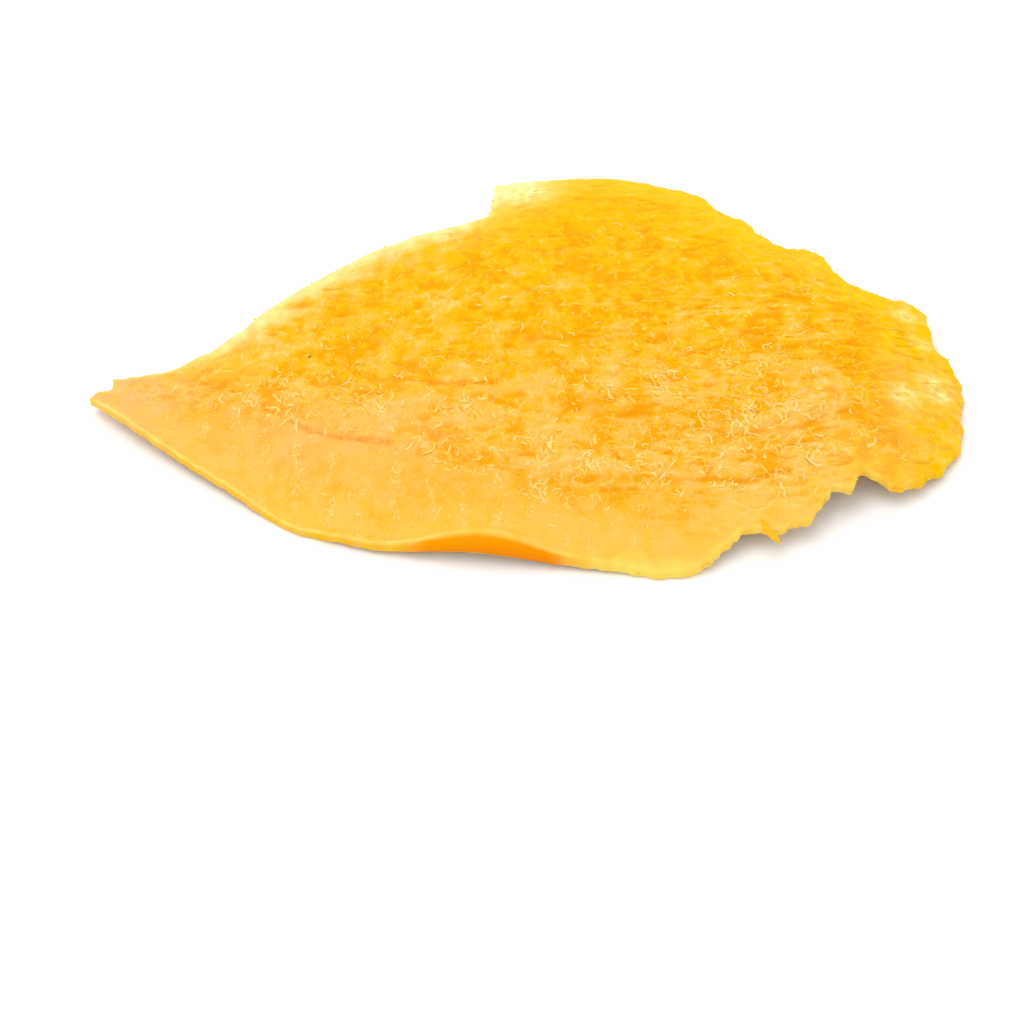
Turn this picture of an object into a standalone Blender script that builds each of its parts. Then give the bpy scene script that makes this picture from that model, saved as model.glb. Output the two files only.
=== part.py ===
"""A dried mango slice: one thin leaf of fruit with a pointed tip and a torn broad end.

The fruit was cut along its stone and dried on a tray, so the slice is an arched sheet about
3 mm thick that thins towards its rim. It lies with its crown up, on three places of its rim
that dried flat against the tray.

Frame: X runs from the tip to the broad end, Y from the front rim to the back rim, Z is up,
and the origin is at the middle of the slice's box, on the tray. Blender's unit is the metre.
The shape is written in millimetres from the crown of the arch, and scaled by MM at the end.
"""

import bpy
import numpy as np

MM = 0.001

# Rim of the slice seen from above, as the points that its sweeps run through, in mm.
# The close ones are where it tore: a step at the back, and small ledges towards the broad end.
FRONT_RIM = (
    (-57.4, -5.9), (-48.0, -13.6), (-38.5, -20.6), (-30.5, -26.2), (-24.0, -28.6), (-18.5, -30.0),
    (-5.0, -31.4), (9.0, -33.0), (17.5, -34.1), (23.0, -32.7), (27.3, -28.8), (31.5, -28.6),
    (36.5, -26.4), (38.8, -22.9), (41.3, -22.8), (42.8, -20.3), (47.0, -21.4), (50.3, -20.3),
    (53.8, -17.6),
)
BACK_RIM = (
    (-54.6, -2.6), (-46.5, -0.9), (-40.5, 2.6), (-34.5, 8.2), (-20.6, 19.2), (-9.0, 23.9),
    (-5.2, 26.4), (-4.3, 33.0), (-1.8, 35.7), (8.0, 37.1), (17.6, 34.3), (24.0, 30.6),
    (26.8, 26.2), (30.3, 23.7), (34.4, 18.9), (39.9, 17.5), (42.3, 12.9), (46.9, 10.6),
    (51.5, 10.4), (53.9, 8.9),
)
BROAD_END = ((53.8, -17.6), (56.4, -13.2), (57.0, -7.5), (57.8, -3.6), (56.6, 0.7), (54.5, 3.6), (53.9, 8.9))
TIP_END = ((-57.4, -5.9), (-56.5, -4.7), (-54.9, -4.2), (-54.6, -2.6))

# Arch of the sheet: radii of its bends, and where each bend starts, in mm.
CREST_Y = -2.0
FRONT_BEND = 62.0
BACK_BEND = 105.0
LENGTH_BEND = 330.0
BROAD_DROOP_FROM = 33.0
BROAD_DROOP_BEND = 62.0
TIP_LIFT_FROM = -38.0
TIP_LIFT_BEND = 110.0

# Front rim lifted off the tray at its middle: centre, reach and height, in mm.
LIFT_CENTRE = (-5.0, -33.0)
LIFT_REACH = 9.0
LIFT_HEIGHT = 1.6

# Slow waves of the sheet: height, length along X and length along Y in mm, phase in radians.
WAVES = ((0.22, 34.0, 61.0, 0.6), (0.18, -92.0, 24.0, 1.9), (0.12, 19.0, -33.0, 4.1))

# Grooves between the fruit's fibres: start, end, half width and depth, in mm.
GROOVES = (
    ((-38.0, -12.0), (-8.0, -21.5), 1.3, 0.35),
    ((-9.0, -10.0), (17.0, -15.5), 2.0, 0.35),
    ((7.0, -20.0), (50.0, -11.5), 1.8, 0.50),
)

# Thickness: middle of the slice, its rim, and what the blunt cut at the front adds, in mm.
MIDDLE_THICKNESS = 3.1
RIM_THICKNESS = 1.25
RIM_TAPER = 7.0
BLUNT_THICKNESS = 1.5
BLUNT_CENTRE = (-5.0, -32.0)
BLUNT_REACH = 9.0

# How far the top face and the underside stay inside the rim, as shares of the rim's thickness,
# and by how much the blunt cut slants outwards to its foot.
TOP_INSET = 0.35
UNDER_INSET = 0.25
BLUNT_SLANT = 0.20
CORNER_FADE = 2.0

# Places where the rim dried flat against the tray, and how far each flat reaches, in mm.
REST_PLACES = ((-29.0, -26.2), (18.0, -33.4), (5.0, 36.2))
FLAT_RADIUS = 2.8
FLARE_RADIUS = 5.5
LEAST_THICKNESS = 0.7

# Mesh steps along and across the slice, how much closer they stand near the rims, and how far
# the front rim's points run ahead, as a share of its length.
STEPS_ALONG = 96
STEPS_ACROSS = 20
RIM_CROWDING = 0.08
FRONT_LEAD = 0.08
SPLINE_STEPS = 24

FLESH_COLOUR = (1.0, 0.47, 0.035, 1.0)
FLESH_ROUGHNESS = 0.45


def clear_scene():
    """Empties the scene that the script starts in."""
    for thing in list(bpy.data.objects):
        bpy.data.objects.remove(thing)


def smooth_step(value):
    """Goes from 0 to 1 with level ends as value goes from 0 to 1."""
    share = np.clip(value, 0.0, 1.0)
    return share * share * (3.0 - 2.0 * share)


def bell(x, y, centre, reach):
    """A round bell of height 1 over a place of the plan."""
    return np.exp(-((x - centre[0]) ** 2 + (y - centre[1]) ** 2) / reach**2)


def crowded(steps):
    """Shares from 0 to 1 in steps that stand closer together near both ends."""
    share = np.linspace(0.0, 1.0, steps + 1)
    return share - RIM_CROWDING * np.sin(2 * np.pi * share)


def sweep(points):
    """A centripetal Catmull-Rom curve through points, as dense points and their shares of its length."""
    points = np.array(points, float)
    ends = (2 * points[0] - points[1], 2 * points[-1] - points[-2])
    points = np.vstack([ends[0], points, ends[1]])
    knots = np.concatenate([[0.0], np.cumsum(np.linalg.norm(np.diff(points, axis=0), axis=1) ** 0.5)])
    dense = []
    for i in range(1, len(points) - 2):
        p = points[i - 1 : i + 3]
        k = knots[i - 1 : i + 3]
        t = np.linspace(k[1], k[2], SPLINE_STEPS, endpoint=False)[:, None]
        outer = [((k[j + 1] - t) * p[j] + (t - k[j]) * p[j + 1]) / (k[j + 1] - k[j]) for j in range(3)]
        inner = [((k[j + 2] - t) * outer[j] + (t - k[j]) * outer[j + 1]) / (k[j + 2] - k[j]) for j in range(2)]
        dense.append(((k[2] - t) * inner[0] + (t - k[1]) * inner[1]) / (k[2] - k[1]))
    dense = np.vstack(dense + [points[-2]])
    length = np.concatenate([[0.0], np.cumsum(np.linalg.norm(np.diff(dense, axis=0), axis=1))])
    return dense, length / length[-1]


def read_sweep(curve, share):
    """Points of a sweep at shares of its length."""
    dense, dense_share = curve
    return np.stack([np.interp(share, dense_share, dense[:, axis]) for axis in range(2)], axis=-1)


def plan_at(sides, u, v):
    """A Coons patch: the plan point at share u of the length and share v of the width.

    It is the point between the front and back rims, plus the one between the tip and the broad
    end, less the one between the four corners. The front rim's points run ahead of the back
    rim's, so that the mesh meets the step in the back rim at an angle.
    """
    front, back, tip, broad = sides
    side_u = u[..., None]
    side_v = v[..., None]
    ahead = u + FRONT_LEAD * np.sin(np.pi * u) ** 2
    front_to_back = (1 - side_v) * read_sweep(front, ahead) + side_v * read_sweep(back, u)
    tip_to_broad = (1 - side_u) * read_sweep(tip, v) + side_u * read_sweep(broad, v)
    tip_corners = (1 - side_v) * front[0][0] + side_v * back[0][0]
    broad_corners = (1 - side_v) * front[0][-1] + side_v * back[0][-1]
    return front_to_back + tip_to_broad - (1 - side_u) * tip_corners - side_u * broad_corners


def drawn_in(sides, inset):
    """The four sides moved inwards, square to themselves. The move fades out at the corners."""
    moved = []
    for (dense, share), left_is_inwards in zip(sides, (1, -1, -1, 1)):
        run = np.gradient(dense, axis=0)
        inwards = left_is_inwards * np.column_stack([-run[:, 1], run[:, 0]])
        inwards /= np.linalg.norm(inwards, axis=1)[:, None]
        length = np.linalg.norm(np.diff(dense, axis=0), axis=1).sum()
        from_corner = np.minimum(share, 1 - share) * length
        move = inset(dense[:, 0], dense[:, 1]) * smooth_step(from_corner / CORNER_FADE)
        moved.append((dense + inwards * move[:, None], share))
    return moved


def rim_distance(plan, loop):
    """How far each plan point is from the nearest point of the rim."""
    x = plan[..., 0]
    y = plan[..., 1]
    nearest = np.full(x.shape, np.inf)
    for place in loop:
        nearest = np.minimum(nearest, np.hypot(x - place[0], y - place[1]))
    return nearest


def groove_depth(x, y):
    """Depth of the grooves: a bell across each groove that fades out at its ends."""
    depth = np.zeros_like(x)
    for start, end, half_width, deepest in GROOVES:
        run = np.subtract(end, start)
        share = ((x - start[0]) * run[0] + (y - start[1]) * run[1]) / (run @ run)
        aside = ((y - start[1]) * run[0] - (x - start[0]) * run[1]) / np.linalg.norm(run)
        ends = smooth_step(share / 0.2) * smooth_step((1 - share) / 0.2)
        depth += deepest * ends * np.exp(-((aside / half_width) ** 2))
    return depth


def arch(x, y):
    """Height of the sheet before it is set down: bends across and along, lifted rim and waves."""
    aside = y - CREST_Y
    height = -(aside**2) / np.where(aside < 0, 2 * FRONT_BEND, 2 * BACK_BEND)
    height -= x**2 / (2 * LENGTH_BEND)
    height -= np.maximum(x - BROAD_DROOP_FROM, 0) ** 2 / (2 * BROAD_DROOP_BEND)
    height += np.maximum(TIP_LIFT_FROM - x, 0) ** 2 / (2 * TIP_LIFT_BEND)
    height += LIFT_HEIGHT * bell(x, y, LIFT_CENTRE, LIFT_REACH)
    for wave_height, length_x, length_y, phase in WAVES:
        height += wave_height * np.sin(2 * np.pi * (x / length_x + y / length_y) + phase)
    return height


def thickness(x, y, from_rim):
    """Thin at the rim, thicker inwards, and blunt where the knife left a square cut."""
    rim_share = np.exp(-from_rim / RIM_TAPER)
    thick = MIDDLE_THICKNESS + (RIM_THICKNESS - MIDDLE_THICKNESS) * rim_share
    return thick + BLUNT_THICKNESS * bell(x, y, BLUNT_CENTRE, BLUNT_REACH) * rim_share


def hung_underside(x, y, from_rim):
    """Height of the underside before it is set down: half the thickness under the arch."""
    return arch(x, y) - thickness(x, y, from_rim) / 2


def set_down(x, y, from_rim, loop):
    """Height of the underside over the plane through its three rest places."""
    places = np.array(REST_PLACES)
    place_heights = hung_underside(places[:, 0], places[:, 1], rim_distance(places, loop))
    level, tilt_x, tilt_y = np.linalg.solve(np.column_stack([np.ones(3), places]), place_heights)
    return hung_underside(x, y, from_rim) - level - tilt_x * x - tilt_y * y


def faces_at(plan, loop):
    """Heights of the underside and the top over plan points.

    The underside follows the arch, level on the tray round each rest place. The top lies the
    sheet's thickness above the arch, less the grooves.
    """
    x = plan[..., 0]
    y = plan[..., 1]
    from_rim = rim_distance(plan, loop)
    arched = set_down(x, y, from_rim, loop)
    under = arched.copy()
    for place in REST_PLACES:
        from_place = np.hypot(x - place[0], y - place[1])
        under *= smooth_step((from_place - FLAT_RADIUS) / (FLARE_RADIUS - FLAT_RADIUS))
    under = np.maximum(under, 0.0)
    top = arched + thickness(x, y, from_rim) - groove_depth(x, y)
    return under, np.maximum(top, under + LEAST_THICKNESS)


def grid_triangles(numbers):
    """Two triangles for each cell of a grid of vertex numbers, facing up."""
    a = numbers[:-1, :-1]
    b = numbers[1:, :-1]
    c = numbers[1:, 1:]
    d = numbers[:-1, 1:]
    return np.stack([a, b, c, a, c, d], axis=-1).reshape(-1, 3)


def band_triangles(lower, upper):
    """A closed band of triangles between two rings of vertex numbers, facing outwards."""
    next_lower = np.roll(lower, -1)
    next_upper = np.roll(upper, -1)
    return np.stack([lower, next_lower, next_upper, lower, next_upper, upper], axis=-1).reshape(-1, 3)


def ring_of(numbers):
    """The vertex numbers round the edge of a grid, in the order of the closed rim."""
    return np.concatenate([numbers[:-1, 0], numbers[-1, :-1], numbers[:0:-1, -1], numbers[0, :0:-1]])


def flesh_material():
    """Moist orange-yellow dried fruit."""
    material = bpy.data.materials.new("mango_flesh")
    material.use_nodes = True
    shader = material.node_tree.nodes["Principled BSDF"]
    shader.inputs["Base Color"].default_value = FLESH_COLOUR
    shader.inputs["Roughness"].default_value = FLESH_ROUGHNESS
    shader.inputs["Metallic"].default_value = 0.0
    return material


def mango_slice():
    """The slice as one closed solid: top face, underside, and a rim ring between them."""
    sides = [sweep(points) for points in (FRONT_RIM, BACK_RIM, TIP_END, BROAD_END)]
    u, v = np.meshgrid(np.linspace(0.0, 1.0, STEPS_ALONG + 1), crowded(STEPS_ACROSS), indexing="ij")
    grid = np.arange(u.size).reshape(u.shape)
    loop = plan_at(sides, u, v).reshape(-1, 2)[ring_of(grid)]

    def top_inset(x, y):
        return thickness(x, y, 0.0) * (TOP_INSET + BLUNT_SLANT * bell(x, y, BLUNT_CENTRE, BLUNT_REACH))

    def under_inset(x, y):
        return thickness(x, y, 0.0) * (UNDER_INSET - BLUNT_SLANT * bell(x, y, BLUNT_CENTRE, BLUNT_REACH))

    top_plan = plan_at(drawn_in(sides, top_inset), u, v)
    under_plan = plan_at(drawn_in(sides, under_inset), u, v)
    top = np.dstack([top_plan, faces_at(top_plan, loop)[1]]).reshape(-1, 3)
    under = np.dstack([under_plan, faces_at(under_plan, loop)[0]]).reshape(-1, 3)
    rim = np.column_stack([loop, np.mean(faces_at(loop, loop), axis=0)])

    under_grid = grid + len(top)
    rim_ring = 2 * len(top) + np.arange(len(rim))
    triangles = np.vstack([
        grid_triangles(grid),
        grid_triangles(under_grid)[:, ::-1],
        band_triangles(ring_of(under_grid), rim_ring),
        band_triangles(rim_ring, ring_of(grid)),
    ])

    points = np.vstack([top, under, rim])
    points[:, :2] -= (loop.min(axis=0) + loop.max(axis=0)) / 2
    mesh = bpy.data.meshes.new("mango_slice")
    mesh.from_pydata((points * MM).tolist(), [], triangles.tolist())
    mesh.shade_smooth()
    mesh.materials.append(flesh_material())
    slice_object = bpy.data.objects.new("mango_slice", mesh)
    bpy.context.scene.collection.objects.link(slice_object)
    return slice_object


clear_scene()
mango_slice()
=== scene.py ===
"""The looks of a dried mango slice: its fibrous flesh, ragged rim, felt of loose fibres and studio.

Lengths are in millimetres from the crown of the slice's arch until make_piece places them.
"""

import bpy
import numpy as np
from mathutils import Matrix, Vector


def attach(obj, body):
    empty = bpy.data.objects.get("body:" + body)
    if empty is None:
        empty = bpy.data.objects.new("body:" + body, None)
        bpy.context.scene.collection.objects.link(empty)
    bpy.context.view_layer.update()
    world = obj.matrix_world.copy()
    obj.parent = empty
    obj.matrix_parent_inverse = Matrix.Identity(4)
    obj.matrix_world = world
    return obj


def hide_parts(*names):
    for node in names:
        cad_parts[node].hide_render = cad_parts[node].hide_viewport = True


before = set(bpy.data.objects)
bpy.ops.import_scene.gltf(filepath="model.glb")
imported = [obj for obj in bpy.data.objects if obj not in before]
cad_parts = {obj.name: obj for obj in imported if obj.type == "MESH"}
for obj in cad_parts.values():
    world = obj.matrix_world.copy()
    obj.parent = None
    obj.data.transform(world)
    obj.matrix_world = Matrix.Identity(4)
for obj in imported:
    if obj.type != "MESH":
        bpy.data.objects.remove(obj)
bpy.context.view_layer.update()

# The leaf: one arched sheet of mango flesh, cut along the fruit's stone and dried on a tray.
# It is tough and moist, 3 mm thick and thinner at its torn rim, and it lies on three places of the rim.
# Both faces are worked out over a grid that runs from the tip to the broad end and from front to back.
MM = 0.001
FRONT_RIM = (
    (-57.4, -5.9), (-48.0, -13.6), (-38.5, -20.6), (-30.5, -26.2), (-24.0, -28.6), (-18.5, -30.0),
    (-5.0, -31.4), (9.0, -33.0), (17.5, -34.1), (23.0, -32.7), (27.3, -28.8), (31.5, -28.6),
    (36.5, -26.4), (38.8, -22.9), (41.3, -22.8), (42.8, -20.3), (47.0, -21.4), (50.3, -20.3),
    (53.8, -17.6),
)
BACK_RIM = (
    (-54.6, -2.6), (-46.5, -0.9), (-40.5, 2.6), (-34.5, 8.2), (-20.6, 19.2), (-9.0, 23.9),
    (-5.2, 26.1), (-5.2, 30.6), (-4.9, 34.4), (-2.2, 36.0), (8.0, 37.1), (17.6, 34.3),
    (24.0, 30.6), (26.8, 26.2), (30.3, 23.7), (34.4, 18.9), (39.9, 17.5), (42.3, 12.9),
    (46.9, 10.6), (51.5, 10.4), (53.9, 8.9),
)
BROAD_END = (
    (53.8, -17.6), (56.4, -13.2), (57.0, -7.5), (57.8, -3.6), (56.6, 0.7), (54.5, 3.6),
    (53.9, 8.9),
)
TIP_END = ((-57.4, -5.9), (-56.5, -4.7), (-54.9, -4.2), (-54.6, -2.6))
# The grid's lines along and across the leaf, and how much they crowd towards its rim
STEPS_ALONG = 392
STEPS_ACROSS = 180
RIM_CROWDING = 0.04
# The steps between two points of a rim, and those that are averaged to take its notches out
SPLINE_STEPS = 64
CALM_POINTS = 1200
CALM_REACH = 60
# In how many stretches the rim is taken where the distance to it is measured
RIM_STRETCHES = 32
# How far the front rim runs ahead, how far notches reach in, and how the plan is kept even
FRONT_LEAD = 0.08
NOTCH_FADE = 0.12
RELAX_ROUNDS = 3
CORNER_FADE = 2.0
LEAST_ADVANCE = 0.06


def smooth_step(value):
    """Goes from 0 to 1 with level ends as value goes from 0 to 1."""
    share = np.clip(value, 0.0, 1.0)
    return share * share * (3.0 - 2.0 * share)


def bell(x, y, centre, reach):
    """A round bell of height 1 over a place of the plan."""
    return np.exp(-((x - centre[0]) ** 2 + (y - centre[1]) ** 2) / reach**2)


def bumps(a, b, seed):
    """Smooth unevenness from about -1 to 1, with one bump or hollow for each unit of a and b.

    Each corner of a grid of unit squares has a slope that is drawn at random. Inside a square the
    planes of its four corners are mixed by a curve that is level at the corners.
    """
    turns = np.random.default_rng(seed).uniform(0.0, 2 * np.pi, (256, 256))
    corner_a = np.floor(a).astype(int)
    corner_b = np.floor(b).astype(int)
    past_a = a - corner_a
    past_b = b - corner_b
    share_a = past_a**3 * (past_a * (6 * past_a - 15) + 10)
    share_b = past_b**3 * (past_b * (6 * past_b - 15) + 10)

    def plane(step_a, step_b):
        turn = turns[(corner_a + step_a) % 256, (corner_b + step_b) % 256]
        return np.cos(turn) * (past_a - step_a) + np.sin(turn) * (past_b - step_b)

    near = plane(0, 0) * (1 - share_a) + plane(1, 0) * share_a
    far = plane(0, 1) * (1 - share_a) + plane(1, 1) * share_a
    return 1.5 * (near * (1 - share_b) + far * share_b)


def crowded(steps):
    """Shares from 0 to 1 in steps that stand closer together near both ends.

    A sine wave of height RIM_CROWDING is taken off even shares.
    """
    share = np.linspace(0.0, 1.0, steps + 1)
    return share - RIM_CROWDING * np.sin(2 * np.pi * share)


def sweep(points):
    """A centripetal Catmull-Rom curve through points, as dense points and their shares of its length.

    The knots stand apart by the root of the points' distances. Between two points, straight mixes of
    neighbours are mixed again twice, each time by how far the knot's value has run.
    """
    points = np.array(points, float)
    ends = (2 * points[0] - points[1], 2 * points[-1] - points[-2])
    points = np.vstack([ends[0], points, ends[1]])
    knots = np.concatenate([[0.0], np.cumsum(np.linalg.norm(np.diff(points, axis=0), axis=1) ** 0.5)])
    dense = []
    for i in range(1, len(points) - 2):
        p = points[i - 1 : i + 3]
        k = knots[i - 1 : i + 3]
        t = np.linspace(k[1], k[2], SPLINE_STEPS, endpoint=False)[:, None]
        outer = [((k[j + 1] - t) * p[j] + (t - k[j]) * p[j + 1]) / (k[j + 1] - k[j]) for j in range(3)]
        inner = [((k[j + 2] - t) * outer[j] + (t - k[j]) * outer[j + 1]) / (k[j + 2] - k[j])
                 for j in range(2)]
        dense.append(((k[2] - t) * inner[0] + (t - k[1]) * inner[1]) / (k[2] - k[1]))
    dense = np.vstack(dense + [points[-2]])
    length = np.concatenate([[0.0], np.cumsum(np.linalg.norm(np.diff(dense, axis=0), axis=1))])
    return dense, length / length[-1]


def read_sweep(curve, share):
    """Points of a sweep at shares of its length."""
    dense, dense_share = curve
    return np.stack([np.interp(share, dense_share, dense[:, axis]) for axis in range(2)], axis=-1)


def calmed(curve):
    """A sweep without its small notches: each point is the mean of those round it, save at the ends."""
    share = np.linspace(0.0, 1.0, CALM_POINTS)
    points = read_sweep(curve, share)
    weights = np.hanning(2 * CALM_REACH + 1)
    weights = weights / weights.sum()
    padded = np.pad(points, ((CALM_REACH, CALM_REACH), (0, 0)), mode="edge")
    mean = np.column_stack([np.convolve(padded[:, axis], weights, "valid") for axis in range(2)])
    inner = smooth_step(np.minimum(share, 1 - share) * CALM_POINTS / CALM_REACH)[:, None]
    return points * (1 - inner) + mean * inner, share


def plan_at(sides, u, v):
    """A Coons patch: the plan point at share u of the length and share v of the width.

    It is the point between the front and back rims, plus the one between the tip and the broad
    end, less the one between the four corners. The front rim's points run ahead of the back rim's.
    The rims are calmed ones, and what sets the real rim off from them fades out away from it. Each
    inner point is then moved to the middle of its four neighbours, a few times over.
    """
    front, back, tip, broad = [calmed(side) for side in sides]
    side_u = u[..., None]
    side_v = v[..., None]
    ahead = u + FRONT_LEAD * np.sin(np.pi * u) ** 2
    front_to_back = (1 - side_v) * read_sweep(front, ahead) + side_v * read_sweep(back, u)
    tip_to_broad = (1 - side_u) * read_sweep(tip, v) + side_u * read_sweep(broad, v)
    tip_corners = (1 - side_v) * front[0][0] + side_v * back[0][0]
    broad_corners = (1 - side_v) * front[0][-1] + side_v * back[0][-1]
    plan = front_to_back + tip_to_broad - (1 - side_u) * tip_corners - side_u * broad_corners
    for side, calm_side, share, from_side in zip(
            sides, (front, back, tip, broad), (ahead, u, v, v), (side_v, 1 - side_v, side_u, 1 - side_u)):
        notches = read_sweep(side, share) - read_sweep(calm_side, share)
        plan = plan + notches * (1 - from_side) * np.exp(-from_side / NOTCH_FADE)
    for _ in range(RELAX_ROUNDS):
        beside = plan[:-2, 1:-1] + plan[2:, 1:-1] + plan[1:-1, :-2] + plan[1:-1, 2:]
        plan[1:-1, 1:-1] = beside / 4
    return plan


def drawn_in(sides, inset):
    """The four sides moved inwards, square to themselves. The move fades out at the corners.

    Each moved side keeps advancing along its own axis, so that it has no loops.
    """
    moved = []
    for (dense, share), left_is_inwards, axis in zip(sides, (1, -1, -1, 1), (0, 0, 1, 1)):
        run = np.gradient(dense, axis=0)
        inwards = left_is_inwards * np.column_stack([-run[:, 1], run[:, 0]])
        inwards /= np.linalg.norm(inwards, axis=1)[:, None]
        length = np.linalg.norm(np.diff(dense, axis=0), axis=1).sum()
        from_corner = np.minimum(share, 1 - share) * length
        move = inset(dense[:, 0], dense[:, 1]) * smooth_step(from_corner / CORNER_FADE)
        placed = dense + inwards * move[:, None]
        advance = LEAST_ADVANCE * length * share
        placed[:, axis] = np.maximum.accumulate(placed[:, axis] - advance) + advance
        moved.append((placed, share))
    return moved


def ring_of(numbers):
    """The vertex numbers round the edge of a grid, in the order of the closed rim."""
    return np.concatenate([numbers[:-1, 0], numbers[-1, :-1], numbers[:0:-1, -1], numbers[0, :0:-1]])


def rim_distance(plan, loop):
    """How far each plan point is from the nearest point of the rim, stretch after stretch of it."""
    nearest = np.full(plan.shape[:-1], np.inf)
    for stretch in np.array_split(loop, RIM_STRETCHES):
        away = (plan[..., :1] - stretch[:, 0]) ** 2 + (plan[..., 1:] - stretch[:, 1]) ** 2
        nearest = np.minimum(nearest, away.min(axis=-1))
    return np.sqrt(nearest)


u, v = np.meshgrid(np.linspace(0.0, 1.0, STEPS_ALONG + 1), crowded(STEPS_ACROSS), indexing="ij")
leaf_grid = np.arange(u.size).reshape(u.shape)
leaf_ring = ring_of(leaf_grid)
cut_sides = [sweep(points) for points in (FRONT_RIM, BACK_RIM, TIP_END, BROAD_END)]
cut_rim = plan_at(cut_sides, u, v).reshape(-1, 2)[leaf_ring]
middle = (cut_rim.min(axis=0) + cut_rim.max(axis=0)) / 2

# The sheet's arch and thickness, and the three places where its rim dried flat on the tray
CREST_Y = -2.0
FRONT_BEND = 62.0
BACK_BEND = 105.0
LENGTH_BEND = 330.0
BROAD_DROOP_FROM = 33.0
BROAD_DROOP_BEND = 62.0
TIP_LIFT_FROM = -38.0
TIP_LIFT_BEND = 110.0
LIFT_CENTRE = (-5.0, -33.0)
LIFT_REACH = 9.0
LIFT_HEIGHT = 1.6
WAVES = ((0.22, 34.0, 61.0, 0.6), (0.18, -92.0, 24.0, 1.9), (0.12, 19.0, -33.0, 4.1))
GROOVES = (
    ((-38.0, -12.0), (-8.0, -21.5), 1.3, 0.35),
    ((-9.0, -10.0), (17.0, -15.5), 2.0, 0.35),
    ((7.0, -20.0), (50.0, -11.5), 1.8, 0.50),
)
GROOVE_FADE = 0.2
MIDDLE_THICKNESS = 3.1
RIM_THICKNESS = 1.25
RIM_TAPER = 7.0
BLUNT_THICKNESS = 1.5
BLUNT_CENTRE = (-5.0, -32.0)
BLUNT_REACH = 9.0
TOP_INSET = 0.35
UNDER_INSET = 0.25
BLUNT_SLANT = 0.20
REST_PLACES = ((-29.0, -26.2), (18.0, -33.4), (5.0, 36.2))
FLAT_RADIUS = 2.8
FLARE_RADIUS = 5.5
LEAST_THICKNESS = 0.7
# Where the rim is torn more and less than elsewhere, as place, reach and how much
MORE_TORN = ((-4.0, 31.0, 7.0, 0.7), (-47.0, 0.0, 7.0, 1.5))
LESS_TORN = ((*BLUNT_CENTRE, BLUNT_REACH, 0.9), (42.0, -21.0, 3.5, 0.8))


def groove_depth(x, y):
    """How deep each place lies in the grooves, which are bells across and fade at their ends."""
    depth = np.zeros_like(x)
    for start, end, half_width, deepest in GROOVES:
        run = np.subtract(end, start)
        share = ((x - start[0]) * run[0] + (y - start[1]) * run[1]) / (run @ run)
        aside = ((y - start[1]) * run[0] - (x - start[0]) * run[1]) / np.linalg.norm(run)
        ends = smooth_step(share / GROOVE_FADE) * smooth_step((1 - share) / GROOVE_FADE)
        in_groove = ends * np.exp(-((aside / half_width) ** 2))
        depth += deepest * in_groove
    return depth


def arch(x, y):
    """Height of the sheet before it is set down: bends across and along, lifted rim and waves."""
    aside = y - CREST_Y
    height = -(aside**2) / np.where(aside < 0, 2 * FRONT_BEND, 2 * BACK_BEND)
    height -= x**2 / (2 * LENGTH_BEND)
    height -= np.maximum(x - BROAD_DROOP_FROM, 0) ** 2 / (2 * BROAD_DROOP_BEND)
    height += np.maximum(TIP_LIFT_FROM - x, 0) ** 2 / (2 * TIP_LIFT_BEND)
    height += LIFT_HEIGHT * bell(x, y, LIFT_CENTRE, LIFT_REACH)
    for wave_height, length_x, length_y, phase in WAVES:
        height += wave_height * np.sin(2 * np.pi * (x / length_x + y / length_y) + phase)
    return height


def thickness(x, y, from_rim):
    """Thin at the rim, thicker inwards, and blunt where the knife left a square cut."""
    rim_share = np.exp(-from_rim / RIM_TAPER)
    thick = MIDDLE_THICKNESS + (RIM_THICKNESS - MIDDLE_THICKNESS) * rim_share
    return thick + BLUNT_THICKNESS * bell(x, y, BLUNT_CENTRE, BLUNT_REACH) * rim_share


def hung_underside(x, y, from_rim):
    """Height of the underside before it is set down: half the thickness under the arch."""
    return arch(x, y) - thickness(x, y, from_rim) / 2


def tear(x, y):
    """How far the rim is torn inwards: small nicks, deeper towards the broad end and at some places."""
    torn = 0.5 + 1.4 * smooth_step((x - 2.0) / 30.0)
    for place_x, place_y, reach, more in MORE_TORN:
        torn = torn + more * bell(x, y, (place_x, place_y), reach)
    for place_x, place_y, reach, less in LESS_TORN:
        torn = torn * (1 - less * bell(x, y, (place_x, place_y), reach))
    return torn * (0.24 * bumps(x / 2.3, y / 2.3, 31) + 0.14 * bumps(x / 1.1, y / 1.1, 32))


def face_inset(share, slant):
    """How far a face's edge is inside the cut: by the tear and a share of the thickness, which the
    blunt cut's slant changes."""
    return lambda x, y: tear(x, y) + thickness(x, y, 0.0) * (
        share + slant * bell(x, y, BLUNT_CENTRE, BLUNT_REACH))


places = np.array(REST_PLACES)
place_heights = hung_underside(places[:, 0], places[:, 1], rim_distance(places, cut_rim))
tray_plane = np.linalg.solve(np.column_stack([np.ones(3), places]), place_heights)

torn_rim = plan_at(drawn_in(cut_sides, tear), u, v).reshape(-1, 2)[leaf_ring]
top_plan = plan_at(drawn_in(cut_sides, face_inset(TOP_INSET, BLUNT_SLANT)), u, v)
under_plan = plan_at(drawn_in(cut_sides, face_inset(UNDER_INSET, -BLUNT_SLANT)), u, v)


def resting(x, y):
    """From 0 on a place where the rim dried flat on the tray to 1 away from it."""
    away = np.ones_like(x)
    for place in REST_PLACES:
        from_place = np.hypot(x - place[0], y - place[1])
        away *= smooth_step((from_place - FLAT_RADIUS) / (FLARE_RADIUS - FLAT_RADIUS))
    return away


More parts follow.
